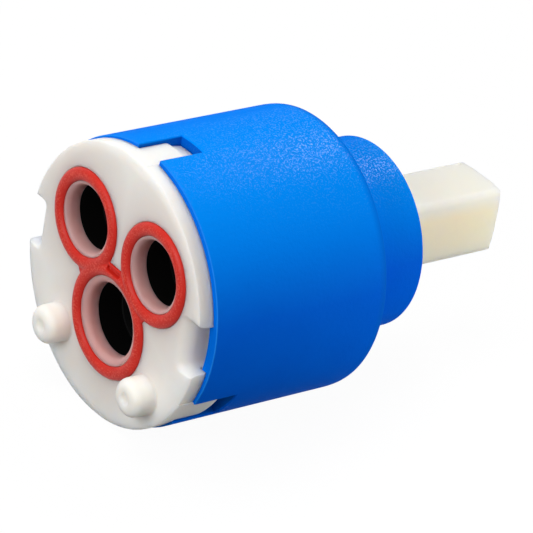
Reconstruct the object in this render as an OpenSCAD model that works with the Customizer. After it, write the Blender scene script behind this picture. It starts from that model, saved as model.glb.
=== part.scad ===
// Single-lever mixer cartridge, 40 mm type, with a flat base.
// Frame: +X runs along the axis from the base's sealing face to the lever, +Z is up with the
// two inlets above the outlet, and the origin is on the axis in the sealing face.
// Lengths along the axis are called x and grow from the sealing face.

/* [Housing] */
// Outside diameter of the barrel
body_d = 40; // [39:0.5:44]
// Distance from the sealing face to the shoulder
shoulder_x = 31.1; // [31:0.1:34]
// Outside diameter of the neck
neck_d = 27.1; // [26.5:0.1:29]
// Length of the neck beyond the shoulder
neck_len = 11.7; // [9:0.1:14]
// Wall thickness of the barrel
barrel_wall = 2; // [1.6:0.1:2.3]
// Wall thickness of the shoulder
shoulder_wall = 2.5; // [2:0.1:3]
// Wall thickness of the neck
neck_wall = 2.55; // [2.2:0.05:2.9]
// Chamfer on the front edge of the barrel
front_chamfer = 0.15; // [0.1:0.05:0.5]
// Lead-in chamfer in the mouth of the barrel
mouth_lead = 0.4; // [0.2:0.1:0.8]
// Rounding of the shoulder edge and the neck edge
edge_round = 0.4; // [0.2:0.1:0.8]
// Depth of the lead-in chamfer in the mouth of the neck
neck_lead = 0.6; // [0.2:0.1:1]

/* [Base] */
// Thickness of the flange in front of the barrel
flange_t = 2.5; // [2.2:0.1:3]
// How far the flange stays inside the barrel's outside radius
flange_inset = 0.45; // [0.1:0.05:1]
// Rounding of the flange's front edge
flange_round = 0.8; // [0.3:0.1:1]
// Clearance of the base's spigot in the barrel
spigot_gap = 0.15; // [0.05:0.05:0.3]
// Thickness of the rim around the fixed disc
rim_t = 1.6; // [1.2:0.1:2]
// Chamfer on the far edge of the rim
rim_chamfer = 0.5; // [0.2:0.1:0.8]
// Width of the two notches at the sides of the flange
notch_w = 7; // [5:0.1:8]
// Depth of those notches
notch_depth = 2.15; // [1.5:0.05:2.6]
// Distance from the sealing face to the end of those notches
notch_end = 5; // [3:0.1:5.2]

/* [Ports] */
// Sideways distance of each inlet from the axis
inlet_y = 8; // [7.6:0.1:8.2]
// Height of the inlets above the axis
inlet_z = 5.9; // [5.6:0.1:6.1]
// Height of the outlet, below the axis
outlet_z = -5.6; // [-6:0.1:-5.5]
// Radius of each inlet
inlet_r = 4.6; // [3.8:0.1:4.7]
// Radius of the outlet
outlet_r = 5.2; // [4.5:0.05:5.3]
// Outside radius of the collar round each inlet
inlet_collar_r = 5.3; // [5.2:0.05:5.4]
// Outside radius of the collar round the outlet
outlet_collar_r = 6.3; // [6.2:0.05:6.4]
// Rounding in the mouth of each port
port_round = 0.5; // [0.2:0.05:0.55]

/* [Base seal] */
// Width of each ring of the seal
lip_w = 1.9; // [1.6:0.1:2]
// How far the rings stand out of the sealing face
lip_h = 0.6; // [0.3:0.1:1]
// Rounding of the rings' edges
lip_round = 0.7; // [0.3:0.1:0.8]
// Depth of the groove that holds the seal
groove_depth = 1.2; // [1:0.1:1.6]
// How far the web between the rings stands out of the face
web_h = 0.1; // [0.05:0.05:0.3]
// Height of the sunk bar that joins the two inlet rings
bar_z = 2.2; // [2.1:0.05:2.3]
// Width of that bar
bar_w = 1.1; // [0.9:0.1:1.3]
// Length of that bar
bar_len = 4.6; // [4.4:0.1:5]
// How deep the bar lies below the sealing face
bar_sink = 0.3; // [0.1:0.1:0.6]

/* [Locating pins] */
// Sideways distance of each pin from the axis
locator_y = 10.2; // [10:0.1:10.6]
// Height of the pins, below the axis
locator_z = -11.3; // [-11.6:0.1:-11.1]
// Diameter of the pins
locator_d = 5.5; // [4.6:0.1:5.6]
// Length of the pins
locator_len = 3.4; // [2:0.1:5]
// Rounding of the pins' ends
locator_round = 0.9; // [0.2:0.1:1.2]
// Diameter of the dimple in each pin's end
dimple_d = 1.9; // [1:0.1:2.6]
// Depth of that dimple
dimple_depth = 0.5; // [0.2:0.1:1]
// Chamfer at the foot of each pin
locator_foot = 0.5; // [0.2:0.05:0.55]

/* [Snap tabs] */
// Width of the slot at the top
top_slot_w = 4.9; // [4:0.1:6]
// Width of the two lower slots
low_slot_w = 6.4; // [5:0.1:7]
// Angle from the top slot to each lower slot
low_slot_angle = 126.7; // [122:0.1:132]
// Distance from the sealing face to the end of the slots
slot_end = 9.6; // [9:0.1:11]
// Distance from the sealing face to the end of the tabs
tab_end = 7.5; // [6.5:0.1:8.5]
// Clearance at each side of a tab
tab_gap = 0.15; // [0.1:0.05:0.4]
// Rounding of the tabs' far edge
tab_round = 1; // [0.4:0.1:1.2]
// How far the foot behind each tab stands out of the barrel's bore
tab_foot = 0.3; // [0.1:0.1:1]

/* [Discs] */
// Thickness of the floor between the two seals
floor_web = 1; // [0.8:0.1:1.4]
// Thickness of the inner seal
inner_seal_t = 3.8; // [3.4:0.1:4]
// Width of the inner seal round each port
inner_seal_w = 1.4; // [1.1:0.1:1.5]
// How far the inner seal holds the fixed disc off the base
seal_squeeze = 0.4; // [0.2:0.1:0.6]
// Thickness of the fixed disc
fixed_t = 3.9; // [3.5:0.1:4]
// Thickness of the moving disc
moving_t = 4.1; // [3.5:0.1:4.2]
// Radius of the moving disc
moving_r = 12.6; // [12:0.1:13]
// Width of the keys that stop the fixed disc turning
key_w = 4; // [3:0.1:5]
// Depth of those keys
key_depth = 1.4; // [1:0.1:1.5]
// Radius of the round feed from each inlet into the fixed disc
feed_r = 3.2; // [2.6:0.1:3.4]
// Radius of the kidney slots in the disc's sliding face
kidney_r = 1.9; // [1.6:0.1:2]
// Radius of the two horns of the mixing chamber
horn_r = 2.2; // [1.8:0.1:2.4]

/* [Carrier] */
// Radius of the carrier's plate
carrier_r = 13; // [12.8:0.1:13.4]
// Thickness of the carrier's plate
carrier_t = 3; // [2.6:0.1:3.2]
// Width of the carrier's block, across the slide
block_w = 12; // [10:0.1:12.4]
// Length of the block, along the slide
block_len = 11; // [10:0.1:11.2]
// Height of the block above the plate
block_h = 4.4; // [4:0.1:4.8]
// Depth of the mixing chamber in the carrier's plate
chamber_depth = 0.75; // [0.4:0.05:0.9]
// Thickness of the floor under the ball's socket
socket_floor = 1; // [0.8:0.1:1.2]
// Width of each lug that drives the moving disc
lug_w = 5; // [4:0.1:6]
// How far each lug reaches in from the plate's edge
lug_depth = 1.6; // [1.2:0.1:2]
// Distance of the lugs from the sliding plane
lug_lift = 1.5; // [1:0.1:2.5]
// Thickness of the glide ring
glide_t = 0.6; // [0.4:0.1:0.8]
// Diameter of the section of the carrier's O-ring
carrier_oring_d = 1.1; // [0.8:0.1:1.3]
// Distance from the inside of the lugs to the middle of that O-ring
carrier_oring_in = 1.4; // [1.2:0.1:1.8]

/* [Rotor] */
// Clearance of the rotor's neck in the housing's neck
turn_gap = 0.15; // [0.1:0.05:0.25]
// Clearance of the rotor's flange in the barrel
flange_gap = 0.4; // [0.2:0.1:0.6]
// Thickness of the thrust washer
washer_t = 0.5; // [0.3:0.1:0.8]
// Distance of the rotor's end from the end of the neck
rotor_recess = 0.4; // [0.2:0.1:2]
// Half the angle that the rotor turns from stop to stop
turn_half = 50; // [40:1:55]
// Half the angle that the stop rib takes up
rib_half = 12; // [8:1:15]
// How far the stop rib stands into the barrel
rib_h = 2.4; // [1.8:0.1:2.8]
// Distance from the rotor's foot to the stop rib
rib_rise = 4.5; // [4:0.1:6]
// Diameter of the section of the O-ring on the rotor's neck
neck_oring_d = 1.2; // [1:0.1:1.3]
// Distance from the end of the neck to that O-ring
neck_oring_in = 6; // [5:0.1:7]
// Diameter of the pivot pin
pin_d = 3; // [2.5:0.1:3.4]
// Distance from each end of the pivot pin to the bore of the housing's neck
pin_inset = 0.7; // [0.3:0.1:1.5]

/* [Lever] */
// Width of the stem, across the tilt
stem_w = 9.5; // [8.5:0.1:9.8]
// Height of the stem, along the tilt
stem_h = 10.1; // [9:0.1:10.4]
// Distance from the sealing face to the end of the stem
stem_end = 64; // [56:0.5:70]
// Rounding of the stem's long edges
stem_round = 1.2; // [0.5:0.1:2]
// Radius of the dome at the stem's end
dome_r = 42; // [35:1:60]
// Height of the boss round the pivot
boss_h = 8.6; // [7:0.1:9]
// Half the length of that boss
boss_half = 4; // [3:0.1:5]
// Distance from the sealing face to the pivot
pivot_x = 31; // [30:0.1:32]
// Radius of the ball at the lever's foot
ball_r = 3; // [2.6:0.1:3.1]
// Radius of the arm above the ball
arm_r = 2.2; // [1.8:0.1:2.3]
// Clearance between the pin and the lever's bore
pin_gap = 0.05; // [0.02:0.01:0.08]
// Clearance between the ball and its socket
ball_gap = 0.1; // [0.06:0.01:0.2]
// Clearance at each side of the stem in the rotor's slot
slot_gap = 0.2; // [0.1:0.05:0.25]
// Half the angle that the lever tilts
tilt_half = 12; // [8:0.5:12]

/* [Hidden] */
$fn = 96;
eps = 0.01;

slide_gap = 0.1;                              // between flat faces that move past each other
body_r = body_d / 2;
bore_r = body_r - barrel_wall;
neck_r = neck_d / 2;
neck_bore_r = neck_r - neck_wall;
neck_end = shoulder_x + neck_len;
shoulder_in = shoulder_x - shoulder_wall;     // inner face of the shoulder

flange_r = body_r - flange_inset;
spigot_r = bore_r - spigot_gap;
rim_r = spigot_r - rim_t;                     // inside radius of the rim
notch_r = flange_r - notch_depth;
pocket_x = groove_depth + floor_web;          // floor of the inner seal's pocket
disc_x = pocket_x + inner_seal_t;             // where the fixed disc starts
floor_x = disc_x - seal_squeeze;
slide_x = disc_x + fixed_t;                   // the plane in which the discs slide
rim_x = slide_x - slide_gap;
carrier_x = slide_x + moving_t;
plate_x = carrier_x + carrier_t;              // top of the carrier's plate
block_x = plate_x + block_h;                  // top of the carrier's block
glide_x = plate_x + glide_t;
seal_gap = 0.05;                              // round a seal in its groove

disc_gap = 0.2;                               // round the fixed disc in the rim
fixed_r = rim_r - disc_gap;
key_gap = 0.15;
key_in_r = fixed_r - key_depth;

rotor_x = glide_x + slide_gap;
rotor_r = bore_r - flange_gap;
rotor_top = shoulder_in - washer_t - slide_gap;
rotor_neck_r = neck_bore_r - turn_gap;
rotor_end = neck_end - rotor_recess;
channel_top = block_x + 3 * slide_gap;
slot_w = stem_w + 2 * slot_gap;
tilt_reach = tan(tilt_half) * (rotor_end - pivot_x);
slot_spare = 0.35;                            // at each end of the tilt
slot_len = stem_h / cos(tilt_half) + 2 * tilt_reach + 2 * slot_spare;
slot_corner = 1.5;
rib_x = rotor_x + rib_rise;                   // where the stop rib starts
rib_r = bore_r - rib_h;
oring_x = neck_end - neck_oring_in;
pin_len = 2 * (neck_bore_r - pin_inset);
washer_gap = 0.2;                             // round the thrust washer

socket_x = carrier_x + chamber_depth + socket_floor;
ball_x = socket_x + ball_r + 2 * ball_gap;
slide_half = (pivot_x - ball_x) * tan(tilt_half) + slide_gap;
lug_r = carrier_r - lug_depth;
lug_x = slide_x + lug_lift;
lug_gap = 0.1;
carrier_oring_r = lug_r - carrier_oring_in;
stop_gap = 0.5;                               // degrees left at each end of the turn

inlets = [[inlet_y, inlet_z], [-inlet_y, inlet_z]];
outlet = [0, outlet_z];
feed_at = [inlet_y - 1.1, inlet_z - 0.8];
kidney = [[inlet_y - 2.8, inlet_z - 1.5], [inlet_y - 1.6, inlet_z - 3.9]];
chamber_at = [0, outlet_z * 0.7];
horn_at = [inlet_y * 0.45, 0.7];
// Each port as [centre, radius, radius of its collar]
ports = [[inlets[0], inlet_r, inlet_collar_r],
         [inlets[1], inlet_r, inlet_collar_r],
         [outlet, outlet_r, outlet_collar_r]];

// Turns a shape drawn upwards so that its height runs along +X and its plane is (Y, Z)
module along_axis(x = 0) translate([x, 0, 0]) rotate([90, 0, 90]) children();

// Solid of a (Y, Z) outline between two distances along the axis
module slab(from, to) along_axis(from) linear_extrude(height = to - from) children();

// Round bar along the axis
module rod(r, from, to, at = [0, 0]) slab(from, to) translate(at) circle(r);

// Ring along the axis
module ring(r_in, r_out, from, to) slab(from, to) difference() {
    circle(r_out);
    circle(r_in);
}

// Body of revolution of an outline drawn as (radius, distance along the axis)
module turned(at = [0, 0]) along_axis() translate([at.x, at.y, 0]) rotate_extrude() children();

// Straight bar with round ends between two points of the plane, a hair narrower than its ends
module link(a, b, r) {
    d = b - a;
    translate(a) circle(r);
    translate(b) circle(r);
    translate(a) rotate(atan2(d.y, d.x)) translate([0, eps - r]) square([norm(d), 2 * (r - eps)]);
}

// Rectangle with round corners, centred
module round_rect(size, r) {
    square([size.x - 2 * r, size.y], center = true);
    square([size.x, size.y - 2 * r], center = true);
    for (sx = [-1, 1], sy = [-1, 1])
        translate([sx * (size.x / 2 - r), sy * (size.y / 2 - r)]) circle(r);
}

// Wedge of the plane about a direction, used to keep part of a ring
module wedge(angle, half, r) {
    polygon([[0, 0], for (i = [-4:4]) 1.2 * r * [cos(angle + i * half / 4), sin(angle + i * half / 4)]]);
}

// Strip of the plane that runs outwards in one direction
module spoke(angle, w, r_in, r_out) rotate(angle) translate([r_in, -w / 2]) square([r_out - r_in, w]);

slots = [[90, top_slot_w], [90 + low_slot_angle, low_slot_w], [90 - low_slot_angle, low_slot_w]];

// Barrel, shoulder and neck, with the slots for the snap tabs and the rotor's stop
module housing() color([0.02, 0.42, 0.9]) difference() {
    union() {
        difference() {
            turned() housing_profile();
            for (s = slots)
                slab(flange_t - 1, slot_end) spoke(s[0], s[1], bore_r - 1, body_r + 1);
        }
        slab(rib_x, shoulder_in + eps) intersection() {
            difference() {
                circle(bore_r + eps);
                circle(rib_r);
            }
            wedge(270, rib_half, bore_r);
        }
    }
}

// Half section of the housing, with its rounded edges
module housing_profile() difference() {
    union() {
        translate([0, flange_t]) square([body_r, shoulder_x - flange_t - edge_round]);
        translate([0, flange_t]) square([body_r - edge_round, shoulder_x - flange_t]);
        translate([body_r - edge_round, shoulder_x - edge_round]) circle(edge_round);
        square_to(neck_r, shoulder_x - 1, neck_end - edge_round);
        square_to(neck_r - edge_round, shoulder_x - 1, neck_end);
        translate([neck_r - edge_round, neck_end - edge_round]) circle(edge_round);
    }
    square_to(bore_r, 0, shoulder_in);
    square_to(neck_bore_r, shoulder_in - 1, neck_end + 1);
    polygon([[body_r - front_chamfer, flange_t], [body_r + 1, flange_t - 1],
             [body_r + 1, flange_t + front_chamfer + 1], [body_r, flange_t + front_chamfer]]);
    polygon([[bore_r - eps, flange_t - eps], [bore_r + mouth_lead + eps, flange_t - eps],
             [bore_r - eps, flange_t + mouth_lead + eps]]);
    polygon([[neck_bore_r - eps, neck_end - neck_lead], [neck_bore_r + neck_lead / 2, neck_end + eps],
             [neck_bore_r - eps, neck_end + eps]]);
}

// Rectangle from the axis out to a radius, between two distances along the axis
module square_to(r, from, to) translate([0, from]) square([r, to - from]);

// Outline of the face seal: a ring round each collar, the web between them and the bar
module seal_outline(grow = 0) {
    difference() {
        union() {
            for (p = ports) translate(p[0]) circle(p[2] + lip_w + grow);
            seal_web(grow);
            seal_bar(grow);
        }
        for (p = ports) translate(p[0]) circle(p[2] - grow);
    }
}

// The flat between the three rings
module seal_web(grow = 0) {
    for (c = inlets) link(c, outlet, lip_w / 2 + grow);
    polygon([inlets[0] * 0.25, inlets[1] * 0.25, outlet * 0.2]);
}

// The bar that ties the two inlet rings
module seal_bar(grow = 0)
    translate([-bar_len / 2 - grow, bar_z - bar_w / 2 - grow])
        square([bar_len + 2 * grow, bar_w + 2 * grow]);

// Section of one ring of the seal, from the floor of its groove to its rounded lip
module lip_section(r_in) {
    x0 = -lip_h;
    translate([r_in, x0 + lip_round]) square([lip_w, groove_depth - x0 - lip_round]);
    translate([r_in + lip_round, x0]) square([lip_w - 2 * lip_round, groove_depth - x0]);
    for (r = [r_in + lip_round, r_in + lip_w - lip_round]) translate([r, x0 + lip_round]) circle(lip_round);
}

// Flanged base with its ports, seal groove, locating pins, snap tabs and the disc's seat
module base() color([0.9, 0.88, 0.84]) difference() {
    union() {
        turned() base_profile();
        for (s = slots) tab(s[0], s[1] - 2 * tab_gap);
        for (side = [-1, 1]) locator([side * locator_y, locator_z]);
        for (a = [0, 180])
            slab(floor_x - eps, rim_x) spoke(a, key_w - 2 * key_gap, key_in_r + key_gap, rim_r + rim_t / 2);
    }
    for (p = ports) {
        turned(p[0]) {
            square_to(p[1], -1, pocket_x + 1);
            difference() {
                square_to(p[1] + port_round, -1, port_round - eps);
                translate([p[1] + port_round, port_round - eps]) circle(port_round);
            }
        }
    }
    slab(-1, groove_depth) seal_outline(seal_gap);
    slab(pocket_x, floor_x + 1) inner_seal_solid(seal_gap);
    for (a = [0, 180])
        slab(-1, notch_end) difference() {
            spoke(a, notch_w, notch_r - 2, flange_r + 1);
            circle(notch_r);
        }
}

// Half section of the base: flange, spigot, floor and rim
module base_profile() difference() {
    union() {
        square_to(flange_r, flange_round, flange_t);
        square_to(flange_r - flange_round, 0, flange_t);
        translate([flange_r - flange_round, flange_round]) circle(flange_round);
        square_to(spigot_r, flange_t - 1, rim_x - rim_chamfer);
        polygon([[0, rim_x - rim_chamfer - eps], [spigot_r, rim_x - rim_chamfer - eps],
                 [spigot_r, rim_x - rim_chamfer], [spigot_r - rim_chamfer, rim_x], [0, rim_x]]);
    }
    translate([0, floor_x]) square([rim_r, rim_x]);
}

// Snap tab in one slot of the housing: flush with the flange, round at its far edge, on a low foot
module tab(angle, w) intersection() {
    turned() {
        square_to(flange_r, flange_t - 1, tab_end - tab_round);
        square_to(flange_r - tab_round, flange_t - 1, tab_end);
        translate([flange_r - tab_round, tab_end - tab_round]) circle(tab_round);
        square_to(bore_r + tab_foot, flange_t - 1, slot_end - tab_gap);
    }
    slab(flange_t - 0.5, slot_end + 1) spoke(angle, w, spigot_r - 1, flange_r + 1);
}

// Locating pin on the sealing face, with a chamfered foot, a round edge and a dimple in its end
module locator(at) turned(at) difference() {
    r = locator_d / 2;
    union() {
        square_to(r, -locator_len + locator_round, 1);
        square_to(r - locator_round, -locator_len, 1);
        translate([r - locator_round, -locator_len + locator_round]) circle(locator_round);
        polygon([[0, -locator_foot], [r, -locator_foot], [r + locator_foot, 0],
                 [r + locator_foot, flange_round], [0, flange_round]]);
    }
    translate([-r - 1, -locator_len - locator_d]) square([r + 1, 2 * locator_d + locator_len + 1]);
    polygon([[0, -locator_len - eps], [dimple_d / 2, -locator_len - eps],
             [dimple_d / 4, -locator_len + dimple_depth], [0, -locator_len + dimple_depth]]);
}

// Red face seal, a raised ring round each port on one web, with the bar sunk between them
module base_seal() color([0.82, 0.22, 0.16]) difference() {
    union() {
        slab(-web_h, groove_depth) seal_outline();
        for (p = ports) turned(p[0]) lip_section(p[2]);
    }
    for (p = ports) rod(p[2], -lip_h - 1, groove_depth + 1, p[0]);
    slab(-lip_h - 1, bar_sink) seal_bar(eps);
}

// Outline of the inner seal, without its holes
module inner_seal_solid(grow = 0) {
    for (p = ports) translate(p[0]) circle(p[1] + inner_seal_w + grow);
    for (c = inlets) link(c, outlet, inner_seal_w + grow);
    link(inlets[0], inlets[1], inner_seal_w + grow);
}

// Black seal between the base and the fixed disc
module inner_seal() color([0.08, 0.08, 0.09]) slab(pocket_x, disc_x) difference() {
    inner_seal_solid();
    for (p = ports) translate(p[0]) circle(p[1]);
}

// Fixed ceramic disc: feeds from the inlets turn into kidney slots in the sliding face
module fixed_disc() color([0.25, 0.25, 0.26]) difference() {
    rod(fixed_r, disc_x, slide_x);
    rod(outlet_r - 0.4, disc_x - 1, slide_x + 1, outlet);
    for (side = [-1, 1]) {
        rod(feed_r, disc_x - 1, disc_x + fixed_t / 2, flip(feed_at, side));
        slab(disc_x + fixed_t / 4, slide_x + 1) link(flip(kidney[0], side), flip(kidney[1], side), kidney_r);
    }
    for (a = [0, 180]) slab(disc_x - 1, slide_x + 1) spoke(a, key_w, key_in_r, fixed_r + 1);
}

// The same point on either side of the vertical plane
function flip(at, side) = [side * at.x, at.y];

// Moving ceramic disc, with the mixing chamber through it and notches for the drive lugs
module moving_disc() color([0.3, 0.3, 0.31]) slab(slide_x, carrier_x) difference() {
    circle(moving_r);
    translate(chamber_at) circle(outlet_r);
    for (side = [-1, 1]) link(chamber_at, flip(horn_at, side), horn_r);
    for (a = [0, 180]) spoke(a, lug_w + 2 * lug_gap, lug_r - lug_gap, moving_r + 1);
}

// Drive plate with its lugs, its guide block and the socket for the lever's ball
module disc_carrier() color([0.2, 0.2, 0.22]) difference() {
    union() {
        rod(carrier_r, carrier_x, plate_x);
        slab(plate_x - 1, block_x) round_rect([block_w, block_len], 1);
        for (a = [0, 180]) slab(lug_x, carrier_x + 1) intersection() {
            spoke(a, lug_w, lug_r, carrier_r + 1);
            circle(carrier_r);
        }
    }
    rod(ball_r + ball_gap, socket_x, block_x + 1);
    ring(carrier_oring_r - carrier_oring_d / 2, carrier_oring_r + carrier_oring_d / 2,
         carrier_x - 1, carrier_x + carrier_oring_d);
    rod(carrier_oring_r - carrier_oring_d / 2 - 1, carrier_x - 1, carrier_x + chamber_depth);
}

// O-ring between the carrier and the moving disc
module carrier_seal() color([0.1, 0.1, 0.1])
    turned() translate([carrier_oring_r, carrier_x + carrier_oring_d / 2]) circle(carrier_oring_d / 2);

// Low-friction ring on the carrier's plate, under the rotor
module glide_ring() color([0.93, 0.93, 0.9])
    ring(norm([block_w, block_len]) / 2 + 0.3, carrier_r - 0.4, plate_x, glide_x);

// Turning sleeve: flange with the carrier's channel and the stop rebate, neck with the lever's slot
module rotor() color([0.88, 0.88, 0.86]) difference() {
    union() {
        rod(rotor_r, rotor_x, rotor_top);
        rod(rotor_neck_r, rotor_top - 1, rotor_end);
    }
    slab(rotor_x - 1, channel_top)
        square([block_w + 2 * slide_gap, block_len + 2 * slide_half + 2 * slide_gap], center = true);
    slab(channel_top - 1, rotor_end + 1) round_rect([slot_w, slot_len], slot_corner);
    slab(rib_x - 2 * slide_gap, rotor_top + 1) difference() {
        wedge(270, turn_half + rib_half + stop_gap, rotor_r);
        circle(rib_r - 2 * slide_gap);
    }
    turned() translate([rotor_neck_r - neck_oring_d + turn_gap - slide_gap / 2, oring_x - neck_oring_d / 2])
        square([neck_oring_d + 1, neck_oring_d]);
    translate([pivot_x, 0, 0]) rotate([90, 0, 0]) cylinder(r = pin_d / 2, h = body_d, center = true);
}

// Washer between the rotor's flange and the shoulder, notched for the stop rib
module thrust_washer() color([0.75, 0.75, 0.72]) slab(shoulder_in - washer_t, shoulder_in) difference() {
    circle(rotor_r);
    circle(neck_bore_r + washer_gap);
    difference() {
        wedge(270, rib_half + 2, rotor_r);
        circle(rib_r - washer_gap);
    }
}

// O-ring in the groove of the rotor's neck
module rotor_oring() color([0.08, 0.08, 0.08])
    turned() translate([neck_bore_r - neck_oring_d / 2 - slide_gap / 2, oring_x]) circle(neck_oring_d / 2);

// Steel pin on which the lever tilts
module pivot_pin() color([0.7, 0.7, 0.72])
    translate([pivot_x, 0, 0]) rotate([90, 0, 0]) cylinder(r = pin_d / 2, h = pin_len, center = true);

// Lever: ball and arm at its foot, boss at the pivot and a square stem with a domed end
module lever() color([0.9, 0.87, 0.79]) difference() {
    boss_x = pivot_x - boss_half;
    arm_x = channel_top + 2;
    union() {
        translate([ball_x, 0, 0]) sphere(ball_r);
        rod(arm_r, ball_x, boss_x);
        translate([0, stem_w / 2, 0]) rotate([90, 0, 0]) linear_extrude(height = stem_w)
            polygon([[arm_x, -arm_r], [boss_x, -boss_h / 2], [pivot_x + boss_half, -boss_h / 2],
                     [pivot_x + boss_half, boss_h / 2], [boss_x, boss_h / 2], [arm_x, arm_r]]);
        intersection() {
            slab(pivot_x + 2, stem_end) round_rect([stem_w, stem_h], stem_round);
            translate([stem_end - dome_r, 0, 0]) sphere(dome_r);
        }
    }
    translate([pivot_x, 0, 0]) rotate([90, 0, 0])
        cylinder(r = pin_d / 2 + pin_gap, h = stem_w + 2, center = true);
}

housing();
base();
base_seal();
inner_seal();
fixed_disc();
moving_disc();
disc_carrier();
carrier_seal();
glide_ring();
rotor();
thrust_washer();
rotor_oring();
pivot_pin();
lever();
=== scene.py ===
"""Looks of a faucet cartridge: its finishes, its modelled outer pieces, the lights and the camera."""

import math

import bpy
from bpy.props import FloatProperty, FloatVectorProperty, PointerProperty
from mathutils import Matrix, Vector


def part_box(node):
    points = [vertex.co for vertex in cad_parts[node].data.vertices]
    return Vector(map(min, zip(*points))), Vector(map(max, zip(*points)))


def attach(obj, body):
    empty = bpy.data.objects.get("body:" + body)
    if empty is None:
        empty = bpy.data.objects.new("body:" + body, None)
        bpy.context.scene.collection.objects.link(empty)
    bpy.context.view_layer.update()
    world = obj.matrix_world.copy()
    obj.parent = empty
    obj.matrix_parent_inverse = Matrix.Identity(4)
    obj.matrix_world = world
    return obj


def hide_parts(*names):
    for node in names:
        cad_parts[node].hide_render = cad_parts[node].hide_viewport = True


bl_info = {
    "name": "Faucet cartridge",
    "version": (1, 0, 0),
    "blender": (4, 5, 0),
    "location": "View3D > Sidebar > Cartridge",
    "description": "Models and finishes a single-lever mixer cartridge",
    "category": "Object",
}

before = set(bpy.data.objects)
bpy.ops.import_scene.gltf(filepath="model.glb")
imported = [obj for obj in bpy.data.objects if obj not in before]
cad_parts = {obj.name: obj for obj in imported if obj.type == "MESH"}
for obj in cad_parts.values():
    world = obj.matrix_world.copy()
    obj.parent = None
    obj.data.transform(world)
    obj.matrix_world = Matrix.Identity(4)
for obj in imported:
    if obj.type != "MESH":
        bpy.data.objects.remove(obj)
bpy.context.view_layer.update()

MM = 0.001
GROUND_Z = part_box("housing")[0].z

# Sizes in millimetres, mostly the solids' own: x runs from the sealing face towards the lever, y sideways
# and z upwards. _R is a radius, _W a width, _X a place on x.
OVER = 1.0  # how far a cutting tool reaches past what it cuts
ROOT = 0.5  # how far an added shape reaches into what carries it
PLAY = 0.05  # room between neighbouring shapes
CUT_IN, CUT_OUT = 15.0, 21.0  # radii between which the tools for slots and tabs reach

BARREL_R, BORE_R = 20.0, 18.0
NECK_R, NECK_BORE_R = 13.55, 11.0
FRONT_X, SHOULDER_IN_X, SHOULDER_X, NECK_END_X = 2.5, 28.6, 31.1, 42.8
SHOULDER_DROP = 0.18  # depth of the shoulder's rounding, as a share of its length
NECK_FOOT_R, NECK_BEVEL, NECK_BEVEL_LEN = 0.3, 0.3, 0.6
RIB_START_X, RIB_END_X, RIB_IN_R, RIB_OUT_R = 22.1, 28.7, 15.6, 18.1
RIB_HALF_W = 3.3  # 0.1 less than the solid's, so that the rotor's lug never lies in its side
SLOT_END_X = 9.6
SLOTS = ((90.0, 4.9), (216.7, 6.4), (-36.7, 6.4))  # angle and width

FLANGE_R, SPIGOT_R, RIM_R = 19.75, 17.85, 16.25  # the flange is 0.2 larger than the solid's
SPIGOT_X = 1.0
FLANGE_AT = (0.5, -0.38)  # the flange sits a hair off the axis
FLANGE_DEPTH = 0.2  # depth of the flange's soft edge, as a share of its width
FLOOR_X, RIM_X, RIM_BEVEL = 5.6, 9.8, 0.5
KEY_IN_R, KEY_OUT_R, KEY_HALF_W = 14.8, 17.0, 1.85
INLETS = ((8.0, 5.9), (-8.0, 5.9))
OUTLET = (0.0, -5.6)
PORTS = ((INLETS[0], 4.6, 5.3), (INLETS[1], 4.6, 5.3), (OUTLET, 5.2, 6.3))  # place, bore, collar
MOUTH_IN = 0.1  # how far a port's mouth stays inside its collar
POCKET_X, POCKET_W = 2.2, 1.45
TAB_GAP, TAB_END_X, TAB_IN_R = 0.15, 7.75, 17.0  # the tab is 0.25 longer than the solid's
TAB_BULGE_R, TAB_CORNER_R = 4.7, 1.0
FOOT_X, FOOT_STEP_X, FOOT_IN_R, FOOT_R, FOOT_END_R = 2.4, 7.5, 17.1, 18.8, 18.5
PIN_R, PIN_LEN, PIN_ROOT, PIN_SINK = 2.75, 3.4, 0.8, 0.01
PINS = ((10.2, -11.3), (-10.2, -11.3))
DIMPLE = ((0.0, 1.0), (0.06, 0.88), (0.25, 0.75), (0.45, 0.55), (0.52, 0.25))  # depth and radius
NOTCH_R, NOTCH_W, NOTCH_X, NOTCH_FILLET = 17.4, 7.0, 5.0, 0.8
NOTCH_SPREAD = 0.4  # how far a notch's sides lean out for each millimetre that its floor drops

LIP_W, LIP_FOOT, GROOVE_X = 1.9, 0.1, 1.2
BAR_Z, BAR_W, BAR_LEN, BAR_PROUD = 2.2, 1.1, 4.6, 0.2
WEB_AT, WEB_R, WEB_PROUD = (6.3, -0.7), 1.5, 0.3
TROUGH_HALF_LEN, TROUGH_R, TROUGH_Z = 1.2, 0.35, BAR_Z - 0.15

PIVOT_X, BALL_X, BALL_R, ARM_R, HINGE_R = 31.0, 18.95, 3.0, 2.2, 1.55
BOSS_HALF_LEN, BOSS_HALF_H, BOSS_TAPER = 4.0, 4.3, 3.3
STEM_ROOT = 2.0  # where the stem starts, past the pivot
STEM_W, STEM_H, STEM_END_X, DOME_R = 9.5, 10.1, 64.0, 42.0

MERGE = 1e-7  # points closer than this, in metres, are one
FACING = 0.9  # how closely a face has to look a given way to be picked, where 1 is exactly
SHARP = 0.7  # two faces meet sharply where the product of their normals is less
SMOOTH_ANGLE = math.radians(35)
ALONG_X, ALONG_Y = (0, math.pi / 2, 0), (math.pi / 2, 0, 0)  # turns that lay down what stands upright


def set_down():
    """Leaves edit mode and deselects all, because an operator acts on everything selected."""
    if bpy.context.mode != "OBJECT":
        bpy.ops.object.mode_set(mode="OBJECT")
    bpy.ops.object.select_all(action="DESELECT")


def take(piece):
    """Makes one piece the active one and the only one selected."""
    set_down()
    piece.select_set(True)
    bpy.context.view_layer.objects.active = piece


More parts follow.
